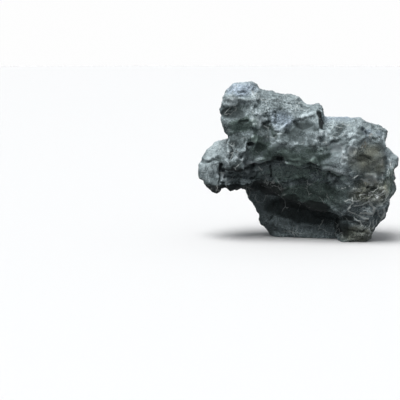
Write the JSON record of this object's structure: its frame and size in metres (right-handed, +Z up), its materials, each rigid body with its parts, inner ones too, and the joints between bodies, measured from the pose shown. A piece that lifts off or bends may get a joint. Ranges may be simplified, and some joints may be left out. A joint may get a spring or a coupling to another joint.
{
  "type": "seiryu stone",
  "caption": "Rugged grey limestone rock with an overhanging ledge, a raised knob at one end and a stepped crest, standing on a flat cut base.",
  "frame": {"origin": "under the middle of the stone's bounding box, on the plane it stands on", "axes": "+X along the stone, from the overhanging end under the knob to the blunt end; +Y to the back; +Z up"},
  "size_m": [0.2, 0.1032, 0.1578],
  "materials": {
    "stone": "rough weathered limestone, blue-grey with pale calcite veins and greenish-brown lower beds"
  },
  "bodies": {
    "root": {"stone": "stone"}
  },
  "joints": []
}
